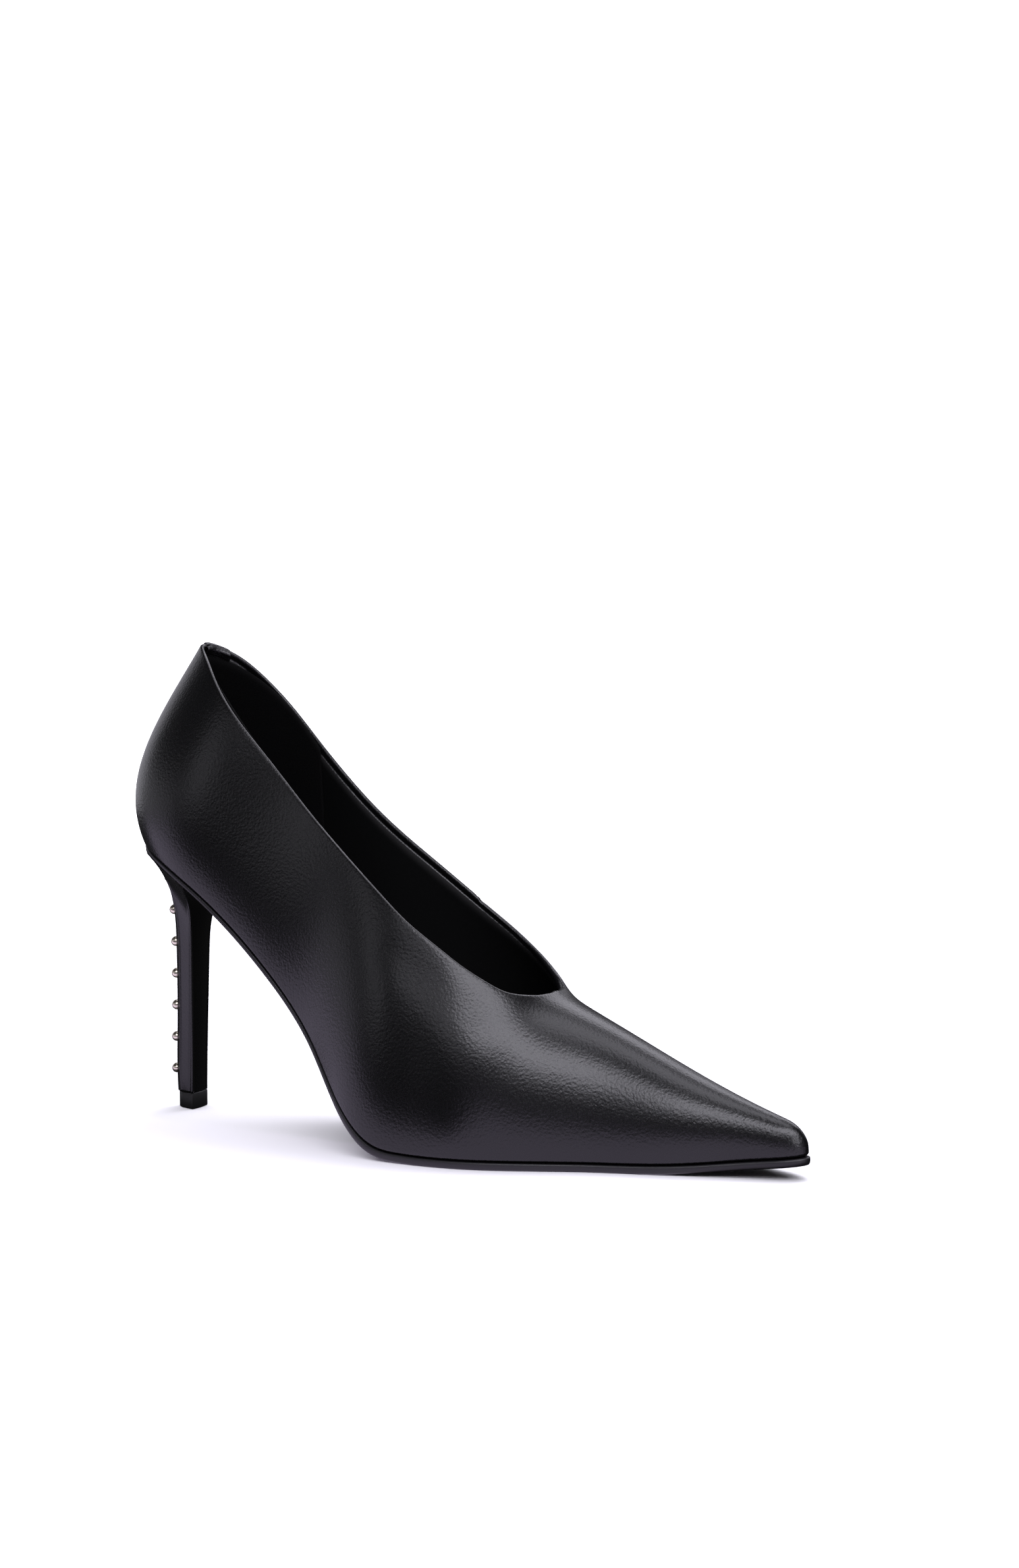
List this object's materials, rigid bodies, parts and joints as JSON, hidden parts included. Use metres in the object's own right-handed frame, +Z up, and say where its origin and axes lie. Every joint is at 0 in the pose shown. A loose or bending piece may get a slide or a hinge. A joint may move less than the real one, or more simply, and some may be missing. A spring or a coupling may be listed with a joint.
{
  "type": "stiletto pump",
  "caption": "Right black leather stiletto pump with a long pointed toe, a deep V topline, a thin sole and a slim high heel with metal ball studs down its back.",
  "frame": {"origin": "Middle of the bounding box on the floor, under the arch", "axes": "+X from heel to toe, +Y to the inner side of the foot, +Z up from the floor"},
  "size_m": [0.252, 0.0768, 0.1676],
  "materials": {
    "upper_leather": "smooth black calf leather, satin gloss, fine grain",
    "tab_leather": "smooth black calf leather, satin gloss",
    "insole_leather": "matte black lining leather",
    "outsole_leather": "black painted sole leather, semi matte",
    "heel_leather": "black calf leather pulled over a moulded heel, satin gloss",
    "lift_rubber": "black moulded heel rubber, matte",
    "stud_nickel": "polished pale nickel plate"
  },
  "bodies": {
    "root": {"upper": "upper_leather", "back_tab": "tab_leather", "insole": "insole_leather", "outsole": "outsole_leather", "heel": "heel_leather", "top_lift": "lift_rubber", "stud_1": "stud_nickel", "stud_2": "stud_nickel", "stud_3": "stud_nickel", "stud_4": "stud_nickel", "stud_5": "stud_nickel", "stud_6": "stud_nickel", "stud_7": "stud_nickel"}
  },
  "joints": []
}
